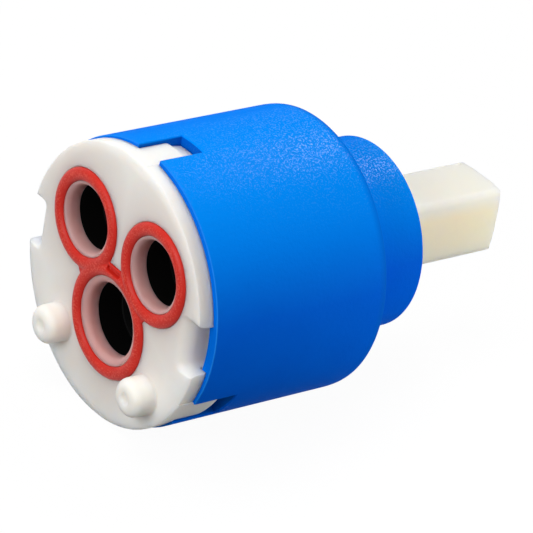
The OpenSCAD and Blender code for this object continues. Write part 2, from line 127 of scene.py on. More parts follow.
def settle(name):
    """Names the active piece and moves its place into its mesh."""
    piece = bpy.context.object
    piece.name = name
    bpy.ops.object.transform_apply(location=True, rotation=True, scale=True)
    return piece


def metres(*values):
    """Lengths in millimetres, as Blender takes them."""
    return [value * MM for value in values]


def sweep(angle, steps=8):
    """Even angles from 0 to a given one."""
    return [angle * i / steps for i in range(steps + 1)]


def arc(centre, radius, start, end, steps):
    """Points of an arc in (x, radius), its angles in degrees from the +x direction."""
    angles = [math.radians(start + angle) for angle in sweep(end - start, steps)]
    return [(centre[0] + radius * math.cos(a), centre[1] + radius * math.sin(a)) for a in angles]


def turn_outline(name, outline, at=(0.0, 0.0), sides=160, loop=False):
    """Body of revolution: a circle is extruded from point to point and each new ring resized."""
    set_down()
    x, radius = outline[0]
    bpy.ops.mesh.primitive_circle_add(
        vertices=sides, radius=radius * MM, rotation=ALONG_X, location=metres(x, *at))
    piece = settle(name)
    bpy.context.tool_settings.mesh_select_mode = (True, False, False)
    bpy.ops.object.mode_set(mode="EDIT")
    bpy.ops.mesh.select_all(action="SELECT")
    for next_x, next_radius in outline[1:] + outline[:1] * loop:
        ratio = next_radius / radius
        bpy.ops.mesh.extrude_region_move(TRANSFORM_OT_translate={"value": metres(next_x - x, 0, 0)})
        bpy.ops.transform.resize(value=(1, ratio, ratio), center_override=metres(next_x, *at))
        x, radius = next_x, next_radius
    bpy.ops.mesh.select_all(action="SELECT")
    bpy.ops.mesh.remove_doubles(threshold=MERGE)
    bpy.ops.mesh.fill_holes(sides=0)
    bpy.ops.mesh.normals_make_consistent(inside=False)
    set_down()
    return piece


def add_block(name, low, high):
    """Box between two corners."""
    set_down()
    bpy.ops.mesh.primitive_cube_add(
        size=1, location=[(a + b) / 2 * MM for a, b in zip(low, high)],
        scale=[(b - a) * MM for a, b in zip(low, high)])
    return settle(name)


def turn_round(piece, turn):
    """Turns a piece about the cartridge's axis, by an angle in degrees."""
    take(piece)
    piece.rotation_euler.x = math.radians(turn)
    return settle(piece.name)


def add_bar(name, radius, length, at, turn=(0, 0, 0), sides=128):
    """Round bar, upright unless it is turned."""
    set_down()
    bpy.ops.mesh.primitive_cylinder_add(
        vertices=sides, radius=radius * MM, depth=length * MM, location=metres(*at), rotation=turn)
    return settle(name)


def add_disc(name, at, radius, low_x, high_x, sides=128):
    """Round bar along x, between two places on it."""
    return add_bar(name, radius, high_x - low_x, ((low_x + high_x) / 2, *at), ALONG_X, sides)


def add_ball(name, x, radius, sides):
    """Sphere on the axis."""
    set_down()
    bpy.ops.mesh.primitive_uv_sphere_add(
        segments=sides, ring_count=sides // 2, radius=radius * MM, location=metres(x, 0, 0))
    return settle(name)


def add_link(name, start, end, half, low_x, high_x):
    """Straight bar between two points of the face."""
    run = Vector(end) - Vector(start)
    middle = (Vector(start) + Vector(end)) / 2
    set_down()
    bpy.ops.mesh.primitive_cube_add(
        size=1, location=metres((low_x + high_x) / 2, *middle), rotation=(math.atan2(run.y, run.x), 0, 0),
        scale=metres(high_x - low_x, run.length, 2 * half))
    return settle(name)


def apply_modifier(piece, kind, **settings):
    """Gives the active piece a modifier with its settings, and applies it."""
    modifier = piece.modifiers.new(kind.lower(), kind)
    for key, value in settings.items():
        setattr(modifier, key, value)
    bpy.ops.object.modifier_apply(modifier=modifier.name)


def work(piece, tool, operation="DIFFERENCE"):
    """Cuts a piece by a tool, joins them or keeps what they share, and removes the tool."""
    take(piece)
    before = len(piece.data.vertices), len(piece.data.polygons)
    apply_modifier(piece, "BOOLEAN", operation=operation, solver="MANIFOLD", object=tool)
    after = len(piece.data.vertices), len(piece.data.polygons)
    if after == before or not after[1]:
        raise RuntimeError(f"{piece.name}: {tool.name} changed nothing or left nothing")
    bpy.data.objects.remove(tool)
    return piece


def clear_picks(piece, kind):
    """Deselects all of a piece's mesh, and sets what edit mode selects: vertices, edges or faces."""
    take(piece)
    bpy.context.tool_settings.mesh_select_mode = [kind == each for each in ("VERT", "EDGE", "FACE")]
    bpy.ops.object.mode_set(mode="EDIT")
    bpy.ops.mesh.select_all(action="DESELECT")
    bpy.ops.object.mode_set(mode="OBJECT")


def pick_faces(piece, way):
    """Opens a piece in edit mode with the faces selected that look a given way."""
    clear_picks(piece, "FACE")
    for face in piece.data.polygons:
        face.select = face.normal.dot(way) > FACING
    bpy.ops.object.mode_set(mode="EDIT")


def lengthwise(start, end):
    """Whether an edge between two points runs along x."""
    return abs(start.x - end.x) > OVER


def pick_edges(piece, test):
    """Opens a piece in edit mode with the sharp edges selected that pass a test on their ends."""
    clear_picks(piece, "EDGE")
    normals = {}
    for face in piece.data.polygons:
        for key in face.edge_keys:
            normals.setdefault(key, []).append(face.normal)
    spots = piece.data.vertices
    for edge in piece.data.edges:
        sides = normals.get(tuple(sorted(edge.vertices)), [])
        sharp = len(sides) == 2 and sides[0].dot(sides[1]) < SHARP
        edge.select = sharp and test(spots[edge.vertices[0]].co / MM, spots[edge.vertices[1]].co / MM)
    bpy.ops.object.mode_set(mode="EDIT")


def flare(steps):
    """Extrudes the selected faces outwards in steps of (distance, resize factors, fixed point)."""
    for shift, factors, fixed in steps:
        bpy.ops.mesh.extrude_region_move(TRANSFORM_OT_translate={"value": metres(*shift)})
        bpy.ops.transform.resize(value=factors, center_override=metres(*fixed))


def smooth_off(piece):
    """Merges doubles, shades smooth where faces meet flatly and lets the large faces lead the normals."""
    take(piece)
    bpy.ops.object.mode_set(mode="EDIT")
    bpy.ops.mesh.select_all(action="SELECT")
    bpy.ops.mesh.remove_doubles(threshold=MERGE)
    bpy.ops.mesh.normals_make_consistent(inside=False)
    bpy.ops.object.mode_set(mode="OBJECT")
    bpy.ops.object.shade_smooth_by_angle(angle=SMOOTH_ANGLE)
    apply_modifier(piece, "WEIGHTED_NORMAL", keep_sharp=True)
    set_down()


def remelt(piece, voxel, rounds):
    """Remeshes a piece evenly and relaxes it, so that its edges come out soft as from a mould."""
    take(piece)
    apply_modifier(piece, "REMESH", mode="VOXEL", voxel_size=voxel * MM, use_smooth_shade=True)
    apply_modifier(piece, "SMOOTH", factor=0.5, iterations=rounds)
    bpy.ops.object.shade_smooth()
    set_down()


def place(piece, node):
    """Lets a modelled piece stand for its node, on the node's body, with its finish."""
    piece.data.materials.clear()
    piece.data.materials.append(FINISHES[node]())
    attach(piece, CARRIERS[node])
    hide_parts(node)


CARRIERS = {
    "housing": "cartridge_body", "base": "cartridge_body", "base_seal": "cartridge_body", "lever": "lever",
}


def linear(red, green, blue):
    """A colour written in display values from 0 to 1, as the linear values that a shader takes."""
    def channel(value):
        return value / 12.92 if value <= 0.04045 else ((value + 0.055) / 1.055) ** 2.4

    return (channel(red), channel(green), channel(blue), 1.0)


def tone(name):
    """One of the colours that a user can change, as a shader takes it."""
    return linear(*getattr(bpy.context.scene.cartridge_colours, name))


class Signal:
    """A socket's value, which Python's operators turn into Math nodes."""

    def __init__(self, nodes, socket):
        self.nodes = nodes
        self.socket = socket

    def maths(self, operation, *values):
        """A Math node on the given values."""
        return self.nodes.node("ShaderNodeMath", {"operation": operation}, *values)

    def __add__(self, other):
        return self.maths("ADD", self, other)

    def __radd__(self, other):
        return self.maths("ADD", other, self)

    def __sub__(self, other):
        return self.maths("SUBTRACT", self, other)

    def __rsub__(self, other):
        return self.maths("SUBTRACT", other, self)

    def __mul__(self, other):
        return self.maths("MULTIPLY", self, other)

    def __rmul__(self, other):
        return self.maths("MULTIPLY", other, self)

    def __truediv__(self, other):
        return self.maths("DIVIDE", self, other)

    def root(self):
        """The square root."""
        return self.maths("SQRT", self)

    def larger(self, other):
        """The larger of this value and another."""
        return self.maths("MAXIMUM", self, other)


class Nodes:
    """A node tree, which one method adds nodes to."""

    def __init__(self, tree):
        self.tree = tree

    def put(self, socket, value):
        """Links a signal to a socket, or sets the socket's own value."""
        if isinstance(value, Signal):
            self.tree.links.new(value.socket, socket)
        else:
            socket.default_value = value

    def node(self, kind, settings, *values, output=0, **named):
        """Adds a node, sets its settings, then its inputs by place or by name."""
        node = self.tree.nodes.new(kind)
        for key, value in settings.items():
            if key == "stops":
                self.set_stops(node.color_ramp, value)
            else:
                setattr(node, key, value)
        for socket, value in zip(node.inputs, values):
            if value is not None:
                self.put(socket, value)
        for key, value in named.items():
            self.put(node.inputs[key.replace("_", " ")], value)
        return Signal(self, node.outputs[output])

    @staticmethod
    def set_stops(ramp, stops):
        """Places a ramp's stops, each a position and a grey level."""
        while len(ramp.elements) < len(stops):
            ramp.elements.new(0.5)
        for element, (position, level) in zip(ramp.elements, stops):
            element.position = position
            element.color = (level, level, level, 1)

    def seen(self, least=0.0):
        """1 for rays of the camera, of a reflection or through glass, and the least value for the rest."""
        value = least
        for kind in ("Camera", "Glossy", "Transmission"):
            value = self.node("ShaderNodeLightPath", {}, output=f"Is {kind} Ray").larger(value)
        return value


class Paint(Nodes):
    """One procedural material, built from nodes that are added by expressions."""

    def __init__(self, name):
        self.material = bpy.data.materials.new(name)
        self.material.use_nodes = True
        super().__init__(self.material.node_tree)
        self.shader = self.tree.nodes["Principled BSDF"]
        self.spot = self.node("ShaderNodeTexCoord", {}, output="Object")

    def axis(self, name):
        """One coordinate, X, Y or Z, of the object's own space."""
        return self.node("ShaderNodeSeparateXYZ", {}, self.spot, output=name)

    def noise(self, size, detail=3, roughness=0.5):
        """Noise whose lumps are about the given size in metres, from 0 to 1."""
        return self.node(
            "ShaderNodeTexNoise", {}, self.spot, Scale=1 / size, Detail=detail, Roughness=roughness,
            output="Fac")

    def streaks(self, stretch, detail):
        """Noise drawn out into streaks, given as the lumps in a metre along each axis."""
        stretched = self.node("ShaderNodeMapping", {}, self.spot, Scale=stretch)
        return self.node("ShaderNodeTexNoise", {}, stretched, Scale=1.0, Detail=detail, output="Fac")

    def ramp(self, value, *stops):
        """Grey levels picked by a value from 0 to 1."""
        return self.node("ShaderNodeValToRGB", {"stops": stops}, value)

    def reach(self, length, span, *stops):
        """Grey levels picked by a length from 0 to the span, with the stops in millimetres too."""
        return self.ramp(length * (1 / (span * MM)), *((at / span, level) for at, level in stops))

    def mix(self, amount, first, second):
        """A colour between two colours."""
        unused = [None] * 5
        return self.node("ShaderNodeMix", {"data_type": "RGBA"}, amount, *unused, first, second, output=2)

    def bump(self, height, distance, strength):
        """A normal from a height map, with the height's full range in metres."""
        return self.node("ShaderNodeBump", {}, Height=height, Distance=distance, Strength=strength)

    def finish(self, **values):
        """Sets the shader's sockets by name."""
        for key, value in values.items():
            self.put(self.shader.inputs[key.replace("_", " ")], value)
        return self.material


def barrel_blue():
    """Blue acetal with a fine spark-eroded grain, whose flecks catch the light on the upper side. Its
    colour holds painted light: a lighter upper side, painted shade on the front face, in the slots and at
    the shoulder, and a painted highlight along the front edge.
    """
    paint = Paint("barrel_blue")
    x, y, z = (paint.axis(name) for name in "XYZ")
    away = (y * y + z * z).root()
    grain = paint.noise(0.0005, detail=4, roughness=0.65)
    fleck = paint.ramp(paint.noise(0.00024, detail=1), (0.52, 0.0), (0.66, 1.0))
    patch = paint.noise(0.006, detail=2)
    colour = paint.mix(0.35 + 0.65 * patch, tone("barrel_deep"), tone("barrel"))
    facing = (z * 0.95 - y * 0.3) / away
    # Painted light: the upper side, which faces the light, is painted a lighter blue.
    colour = paint.mix(paint.ramp(facing, (0.45, 0.0), (0.97, 1.0)), colour, tone("barrel_painted_light"))
    front = paint.reach(x, 10, (2.58, 1.0), (2.66, 0.0))
    rim = paint.reach(away, 20, (19.8, 0.0), (19.88, 1.0))
    inner = paint.reach(away, 20, (19.7, 1.0), (19.84, 0.0))
    slotted = paint.reach(x, 20, (11.0, 1.0), (12.0, 0.0))
    # Painted shade: the slots' walls, and the bore behind the front, are painted a darker blue.
    colour = paint.mix(inner * slotted, colour, tone("barrel_wall"))
    # Painted shade: the front face, beside the flange, is painted a darker blue.
    colour = paint.mix(front, colour, tone("barrel_painted_shade"))
    # Painted highlight: a paler blue along the outer front edge, where the edge catches the light.
    colour = paint.mix(rim * front, colour, tone("barrel_edge_highlight"))
    # Painted shade: a darker band where the barrel's shoulder rounds off towards the neck.
    bend = paint.reach(x, 40, (29.8, 0.0), (30.88, 1.0)) * paint.reach(away, 20, (14.0, 0.0), (14.4, 1.0))
    colour = paint.mix(bend * 0.7, colour, tone("barrel_painted_shade"))
    along = paint.reach(x, 40, (4.0, 0.2), (24.0, 1.0))
    upper = paint.ramp(facing, (0.8, 0.0), (0.97, 1.0)) * (1 - bend) * along
    return paint.finish(
        Base_Color=colour,
        Roughness=0.5 + 0.2 * grain,
        Normal=paint.bump(grain, 0.00008, 0.6),
        IOR=1.05,
        Coat_Weight=upper * (0.03 + 0.97 * fleck),
        Coat_Roughness=0.3,
        Coat_IOR=1.35,
    )


def base_masks(paint):
    """Masks of the base: in the ports and beside the seal, for its painted red light; within 6 mm of the
    seal, for painted shade; on the pins; and past 7.7 mm behind the face, for painted shade at the tabs'
    feet.
    """
    x, y, z = (paint.axis(name) for name in "XYZ")
    bore = red_light_halo = face_shade = 0.0
    for at, _, collar in PORTS:
        off_y, off_z = y - at[0] * MM, z - at[1] * MM
        away = (off_y * off_y + off_z * off_z).root()
        outer = collar + LIP_W
        # Painted red light: the ports' walls, inside the collars, are painted pink.
        bore = paint.reach(away, 10, (collar - 0.15, 1.0), (collar + 0.05, 0.0)).larger(bore)
        # Painted red light: a pink ring on the face right beside the seal's lips.
        red_light_halo = paint.reach(away, 10, (outer, 1.0), (outer + 1.3, 0.0)).larger(red_light_halo)
        # Painted shade: the face within 6 mm of the seal's lips is painted duller.
        face_shade = paint.reach(away, 20, (outer, 1.0), (outer + 6, 0.0)).larger(face_shade)
    shallow = paint.reach(x, 10, (3.0, 1.0), (FLOOR_X, 0.0))
    proud = paint.reach(x, -10, (-0.2, 0.0), (-1.5, 1.0))
    # Painted shade behind the tabs: the base is painted duller past 7.7 mm from the face.
    behind = paint.reach(x, 10, (7.7, 0.0), (9.3, 1.0))
    return bore * shallow, red_light_halo * shallow, face_shade * shallow * (1 - proud), proud, behind


def base_white():
    """Warm white acetal with faint clouds, in which the red seal shines through round the ports, painted as
    pink light; painted shade dulls the face near the seal and the tabs' feet.
    """
    paint = Paint("base_white")
    cloud = paint.noise(0.007, detail=2)
    grain = paint.noise(0.0006)
    colour = paint.mix(cloud, tone("base_shade"), tone("base"))
    bore, red_light_halo, face_shade, proud, behind = base_masks(paint)
    # Painted shade on the feet behind the tabs.
    colour = paint.mix(behind, colour, tone("base_foot_shade"))
    # Painted shade: the face near the seal is painted duller.
    colour = paint.mix(face_shade, colour, tone("base_face_shade"))
    # Painted red light of the seal on the face beside it.
    colour = paint.mix(red_light_halo * 0.2, colour, tone("red_light_halo"))
    # Painted red light of the seal in the ports.
    colour = paint.mix(bore, colour, tone("bore"))
    colour = paint.mix(proud, colour, tone("pins"))
    return paint.finish(
        Base_Color=colour,
        Roughness=0.42 + 0.1 * grain,
        Normal=paint.bump(grain, 0.00003, 0.3),
        Subsurface_Weight=0.9,
        Subsurface_Radius=(1.0, 0.85, 0.7),
        Subsurface_Scale=0.003,
        IOR=1.48,
        Specular_IOR_Level=0.2,
    )


def seal_red():
    """Red silicone with a soft sheen and fine dust-like speckle, and paler specks on the crown of its lips
    that are dust and painted sheen.
    """
    paint = Paint("seal_red")
    speckle = paint.noise(0.00025, detail=3, roughness=0.7)
    blotch = paint.noise(0.0015, detail=2)
    crown = paint.reach(paint.axis("X"), -1, (-0.3, 0.0), (-0.58, 1.0))
    dust = paint.ramp(paint.noise(0.00024, detail=2), (0.5, 0.0), (0.62, 1.0))
    colour = paint.mix(blotch, tone("seal_shade"), tone("seal"))
    # Dust and painted sheen: paler specks on the crown of the lips, where the crown catches the light.
    colour = paint.mix(crown * dust * 0.42, colour, tone("seal_dust_and_sheen"))
    return paint.finish(
        Base_Color=colour,
        Roughness=0.3 + 0.25 * speckle,
        Normal=paint.bump(speckle, 0.00006, 0.5),
        Subsurface_Weight=0.12,
        Subsurface_Radius=(1.0, 0.25, 0.15),
        Subsurface_Scale=0.0008,
        IOR=1.42,
        Specular_IOR_Level=0.3,
    )


def seal_black():
    """Black rubber of the inner seals."""
    paint = Paint("seal_black")
    speckle = paint.noise(0.0003)
    return paint.finish(
        Base_Color=paint.mix(speckle, linear(0.008, 0.008, 0.008), linear(0.027, 0.027, 0.027)),
        Roughness=0.6 + 0.2 * speckle,
        Normal=paint.bump(speckle, 0.00003, 0.4),
        Specular_IOR_Level=0.05,
    )


def ceramic_dark():
    """Dark ground ceramic of the two discs; the dark colour also serves as painted shade deep in the ports.
    """
    paint = Paint("ceramic_dark")
    speckle = paint.noise(0.0004)
    return paint.finish(
        Base_Color=paint.mix(speckle, linear(0.031, 0.031, 0.031), linear(0.071, 0.071, 0.075)),
        Roughness=0.4 + 0.2 * speckle,
        Specular_IOR_Level=0.15,
    )


def carrier_grey():
    """Dark grey moulded plastic of the disc carrier."""
    paint = Paint("carrier_grey")
    speckle = paint.noise(0.0005)
    return paint.finish(
        Base_Color=paint.mix(speckle, linear(0.173, 0.176, 0.192), linear(0.235, 0.239, 0.259)),
        Roughness=0.45 + 0.2 * speckle,
        Normal=paint.bump(speckle, 0.00003, 0.4),
    )


def slip_white():
    """White low-friction plastic of the rings between the moving pieces."""
    paint = Paint("slip_white")
    cloud = paint.noise(0.003, detail=2)
    return paint.finish(
        Base_Color=paint.mix(cloud, linear(0.871, 0.871, 0.855), linear(0.933, 0.933, 0.918)),
        Roughness=0.3 + 0.15 * cloud,
    )


def rotor_white():
    """White acetal of the turning sleeve, with faint moulding clouds."""
    paint = Paint("rotor_white")
    cloud = paint.noise(0.005, detail=2)
    grain = paint.noise(0.0005)
    return paint.finish(
        Base_Color=paint.mix(cloud, linear(0.839, 0.835, 0.816), linear(0.910, 0.906, 0.890)),
        Roughness=0.4 + 0.12 * grain,
        Normal=paint.bump(grain, 0.00003, 0.3),
        Subsurface_Weight=0.2,
        Subsurface_Radius=(1.0, 0.9, 0.8),
        Subsurface_Scale=0.0012,
    )


def pin_steel():
    """Ground stainless steel with fine rings round the pin."""
    paint = Paint("pin_steel")
    streak = paint.streaks((400.0, 9000.0, 400.0), detail=3)
    return paint.finish(
        Base_Color=paint.mix(streak, linear(0.667, 0.671, 0.682), linear(0.804, 0.804, 0.816)),
        Metallic=1.0,
        Roughness=0.22 + 0.18 * streak,
    )


def lever_cream():
    """Cream nylon, a little translucent, with faint clouds, drag lines along the stem and a paler upper
    side painted as sheen.
    """
    paint = Paint("lever_cream")
    cloud = paint.noise(0.006)
    line = paint.streaks((60.0, 900.0, 900.0), detail=2)
    top = paint.reach(paint.axis("Z"), 10, (2.0, 0.0), (3.8, 1.0))
    colour = paint.mix(cloud, tone("lever_shade"), tone("lever"))
    # Painted light: the upper side is painted a paler, whiter cream, for the sheen of the light from above.
    colour = paint.mix(top, colour, tone("lever_top_sheen"))
    return paint.finish(
        Base_Color=colour,
        Roughness=0.42 + 0.14 * line,
        Normal=paint.bump(line, 0.00004, 0.35),
        Subsurface_Weight=1.0,
        Subsurface_Radius=(1.0, 0.88, 0.66),
        Subsurface_Scale=0.006,
        IOR=1.5,
        Specular_IOR_Level=0.15,
    )


FINISHES = {
    "housing": barrel_blue,
    "base": base_white,
    "base_seal": seal_red,
    "inner_seal": seal_black,
    "fixed_disc": ceramic_dark,
    "moving_disc": ceramic_dark,
    "disc_carrier": carrier_grey,
    "carrier_seal": seal_black,
    "glide_ring": slip_white,
    "rotor": rotor_white,
    "thrust_washer": slip_white,
    "rotor_oring": seal_black,
    "pivot_pin": pin_steel,
    "lever": lever_cream,
}


class CartridgeColours(bpy.types.PropertyGroup):
    """Display colours of the visible finishes."""

    barrel: FloatVectorProperty(
        name="Barrel", description="Blue of the barrel in full light",
        subtype="COLOR_GAMMA", default=(0, 0.427, 0.941))
    # Painted light: lighter blue of the barrel's upper side, where the light falls.
    barrel_painted_light: FloatVectorProperty(
        name="Barrel, upper", description="Blue of the barrel's upper side",
        subtype="COLOR_GAMMA", default=(0, 0.533, 0.949))
    barrel_deep: FloatVectorProperty(
        name="Barrel, deep", description="Blue of the barrel's darker clouds",
        subtype="COLOR_GAMMA", default=(0, 0.384, 0.902))
    # Painted shade: darker blue of the front face and of the band at the shoulder.
    barrel_painted_shade: FloatVectorProperty(
        name="Barrel, front", description="Blue of the barrel's front face and of its shoulder",
        subtype="COLOR_GAMMA", default=(0, 0.408, 0.847))
    # Painted shade: darker blue of the slots' walls.
    barrel_wall: FloatVectorProperty(
        name="Barrel, walls", description="Blue of the slots' walls",
        subtype="COLOR_GAMMA", default=(0, 0.361, 0.769))
    # Painted highlight: paler blue along the front edge, where the edge catches the light.
    barrel_edge_highlight: FloatVectorProperty(
        name="Barrel, edge", description="Paler blue where the front edge is worn",
        subtype="COLOR_GAMMA", default=(0.118, 0.510, 0.925))
    base: FloatVectorProperty(
        name="Base", description="White of the base",
        subtype="COLOR_GAMMA", default=(0.953, 0.945, 0.929))
    base_shade: FloatVectorProperty(
        name="Base, shade", description="White of the base's darker clouds",
        subtype="COLOR_GAMMA", default=(0.922, 0.906, 0.882))
    # Painted shade: duller white of the face near the seal.
    base_face_shade: FloatVectorProperty(
        name="Base, thin", description="Duller white of the face over the hollow for the inner seal",
        subtype="COLOR_GAMMA", default=(0.878, 0.843, 0.816))
    # Painted shade: duller white of the base behind the snap tabs.
    base_foot_shade: FloatVectorProperty(
        name="Base, feet", description="Duller white of the feet behind the snap tabs",
        subtype="COLOR_GAMMA", default=(0.804, 0.776, 0.769))
    pins: FloatVectorProperty(
        name="Pins", description="White of the locating pins",
        subtype="COLOR_GAMMA", default=(0.953, 0.937, 0.906))
    # Painted red light: pink of the ports' walls, for the seal's red light reflected and shining through
    # them.
    bore: FloatVectorProperty(
        name="Bores", description="Pink of the ports' walls, where the red seal shines through",
        subtype="COLOR_GAMMA", default=(0.831, 0.612, 0.596))
    # Painted red light: pink of the face right beside the red seal, for the seal's light that reaches it.
    red_light_halo: FloatVectorProperty(
        name="Halo", description="Pink of the face right beside the red seal",
        subtype="COLOR_GAMMA", default=(0.886, 0.745, 0.722))
    seal: FloatVectorProperty(
        name="Seal", description="Red of the face seal",
        subtype="COLOR_GAMMA", default=(0.800, 0.165, 0.118))
    seal_shade: FloatVectorProperty(
        name="Seal, shade", description="Red of the seal's darker blotches",
        subtype="COLOR_GAMMA", default=(0.729, 0.125, 0.086))
    # Dust and painted sheen: paler red specks on the lips' crown.
    seal_dust_and_sheen: FloatVectorProperty(
        name="Seal, dust", description="Paler red of the dust on the seal's lips",
        subtype="COLOR_GAMMA", default=(0.894, 0.408, 0.329))
    lever: FloatVectorProperty(
        name="Lever", description="Cream of the lever",
        subtype="COLOR_GAMMA", default=(0.980, 0.929, 0.831))
    lever_shade: FloatVectorProperty(
        name="Lever, shade", description="Cream of the lever's darker clouds",
        subtype="COLOR_GAMMA", default=(0.969, 0.910, 0.796))
    # Painted light: paler cream of the lever's upper side, for the sheen of the light from above.
    lever_top_sheen: FloatVectorProperty(
        name="Lever, top", description="Paler cream of the lever's upper side",
        subtype="COLOR_GAMMA", default=(0.929, 0.914, 0.867))


class CartridgeStage(bpy.types.PropertyGroup):
    """The camera, the floor and the even light."""

    lens: FloatProperty(
        name="Lens", description="Focal length on a 36 mm sensor", unit="CAMERA", default=261.24)
    camera_at: FloatVectorProperty(
        name="Camera", description="Place of the camera", unit="LENGTH",
        default=(-0.28435, -0.35246, 0.25277))
    camera_right: FloatVectorProperty(
        name="Picture right", description="Direction of the picture's right side",
        subtype="DIRECTION", default=(0.79434, -0.58704, 0.15623))
    camera_up: FloatVectorProperty(
        name="Picture up", description="Direction of the picture's upper side",
        subtype="DIRECTION", default=(0.17727, 0.46998, 0.86469))
    sky: FloatProperty(
        name="Sky", description="Strength of the even light from all sides", default=0.12)
    floor_size: FloatProperty(
        name="Floor", description="Side of the floor", unit="LENGTH", default=12.0)


class CartridgeSizes(bpy.types.PropertyGroup):
    """Small roundings, heights and depths of the modelled pieces."""

    front_edge: FloatProperty(
        name="Front edge", description="Rounding of the barrel's front edge",
        unit="LENGTH", min=0, default=0.00015)
    mouth_lead: FloatProperty(
        name="Mouth lead", description="Lead-in chamfer of the barrel's mouth",
        unit="LENGTH", min=0, default=0.0004)
    slot_edge: FloatProperty(
        name="Slot edge", description="Chamfer along the slots' outer edges",
        unit="LENGTH", min=0, default=0.0001)
    shoulder_round: FloatProperty(
        name="Shoulder", description="Length of the shoulder's shallow rounding",
        unit="LENGTH", min=0, default=0.0015)
    neck_round: FloatProperty(
        name="Neck end", description="Rounding of the neck's end",
        unit="LENGTH", min=0, default=0.0004)
    flange_round: FloatProperty(
        name="Flange edge", description="Width of the flange's soft front edge",
        unit="LENGTH", min=0, default=0.0016)
    port_round: FloatProperty(
        name="Port mouths", description="Depth of the curve in the mouth of each port",
        unit="LENGTH", min=0, default=0.001)
    notch_round: FloatProperty(
        name="Notch edge", description="Rounding where the notch on the -Y side meets the face",
        unit="LENGTH", min=0, default=0.0019)
    notch_round_far: FloatProperty(
        name="Far notch edge", description="Rounding where the notch on the +Y side meets the face",
        unit="LENGTH", min=0, default=0.00114)
    pin_foot: FloatProperty(
        name="Pin foot", description="Fillet at the foot of each locating pin",
        unit="LENGTH", min=0, default=0.0003)
    pin_round: FloatProperty(
        name="Pin end", description="Rounding of each locating pin's end",
        unit="LENGTH", min=0, default=0.0013)
    lip_height: FloatProperty(
        name="Lip height", description="How far the seal stands out of the face",
        unit="LENGTH", min=0, default=0.0006)
    bar_sink: FloatProperty(
        name="Bar depth", description="How deep the groove in the seal's bar goes",
        unit="LENGTH", min=0, default=0.0002)
    stem_round: FloatProperty(
        name="Stem edges", description="Rounding of the stem's long edges",
        unit="LENGTH", min=0, default=0.0009)


class CARTRIDGE_OT_housing(bpy.types.Operator):
    """Model the barrel with its shoulder, neck, snap slots and inner stop rib"""

    bl_idname = "cartridge.housing"
    bl_label = "Housing"

    def execute(self, context):
        size = context.scene.cartridge_sizes
        front, lead = size.front_edge / MM, size.mouth_lead / MM
        edge, soft, end = size.slot_edge / MM, size.shoulder_round / MM, size.neck_round / MM
        housing = turn_outline("housing_moulded", [
            (FRONT_X, BORE_R + lead),
            *arc((FRONT_X + front, BARREL_R - front), front, 180, 90, 3),
            *self.shoulder(soft, SHOULDER_DROP * soft),
            *arc((SHOULDER_X + NECK_FOOT_R, NECK_R + NECK_FOOT_R), NECK_FOOT_R, 180, 270, 3),
            *arc((NECK_END_X - end, NECK_R - end), end, 90, 0, 5),
            (NECK_END_X, NECK_BORE_R + NECK_BEVEL), (NECK_END_X - NECK_BEVEL_LEN, NECK_BORE_R),
            (SHOULDER_IN_X, NECK_BORE_R), (SHOULDER_IN_X, BORE_R), (FRONT_X + lead, BORE_R),
        ], loop=True)
        for turn, width in SLOTS:
            work(housing, self.slot(width, edge, turn))
            work(housing, self.slot_back(width, edge, turn))
        rib = turn_outline("rib", [
            (RIB_START_X, RIB_IN_R), (RIB_START_X, RIB_OUT_R), (RIB_END_X, RIB_OUT_R),
            (RIB_END_X, RIB_IN_R)], loop=True)
        below = (RIB_START_X - OVER, -RIB_HALF_W, -BARREL_R), (RIB_END_X + OVER, RIB_HALF_W, -NECK_BORE_R)
        work(rib, add_block("wedge", *below), "INTERSECT")
        work(housing, rib, "UNION")
        smooth_off(housing)
        place(housing, "housing")
        return {"FINISHED"}

    def shoulder(self, length, drop):
        """Long, shallow rounding of the shoulder's edge, a quarter of an ellipse."""
        return [(SHOULDER_X - length + length * math.sin(a), BARREL_R - drop + drop * math.cos(a))
                for a in sweep(math.pi / 2)]

    def slot(self, width, edge, turn):
        """Tool for one slot: a bar whose sides lean out where they leave the barrel."""
        half = width / 2
        top = math.sqrt(BARREL_R ** 2 - half ** 2) - edge
        tool = add_block("slot_tool", (FRONT_X - OVER, -half, BORE_R - OVER), (SLOT_END_X, half, top))
        pick_faces(tool, (0, 0, 1))
        flare([((0, 0, edge), (1, 1 + edge / half, 1), (0, 0, top + edge)),
               ((0, 0, OVER), (1, 1 + OVER / half, 1), (0, 0, top + edge + OVER))])
        set_down()
        return turn_round(tool, turn - 90)

    def slot_back(self, width, edge, turn):
        """Tool for the chamfer along the slot's far edge."""
        start_x, past = SLOT_END_X - 0.4, 0.5
        tool = turn_outline("back_tool", [
            (start_x, BARREL_R - edge), (SLOT_END_X, BARREL_R - edge),
            (SLOT_END_X + edge + past, BARREL_R + past), (start_x, BARREL_R + past)], loop=True)
        half = (width + edge) / 2
        beside = (SLOT_END_X - OVER, -half, CUT_IN), (SLOT_END_X + OVER, half, CUT_OUT)
        work(tool, add_block("keep", *beside), "INTERSECT")
        return turn_round(tool, turn - 90)


